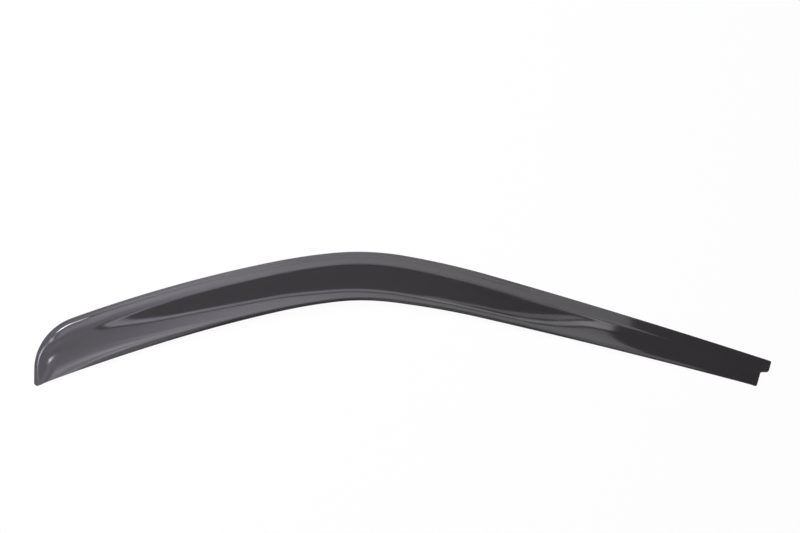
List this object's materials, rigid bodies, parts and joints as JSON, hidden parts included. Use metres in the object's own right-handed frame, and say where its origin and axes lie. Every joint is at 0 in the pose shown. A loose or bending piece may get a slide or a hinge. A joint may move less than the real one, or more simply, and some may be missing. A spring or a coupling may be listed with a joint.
{
  "type": "window rain deflector",
  "caption": "Bent strip of smoked acrylic that follows the top of a car door's window, with a flat flange, a raised crowned face, a turned-down lip, a closed round end and a notched tip.",
  "frame": {"origin": "centre of the strip's plan box, on the plane of the flange's back", "axes": "+X along the strip from the round wide end to the notched tip, +Y towards the flange edge, +Z away from the door"},
  "size_m": [0.9898, 0.194, 0.0125],
  "materials": {
    "smoked_acrylic": "gloss"
  },
  "bodies": {
    "root": {"deflector_strip": "smoked_acrylic"}
  },
  "joints": []
}
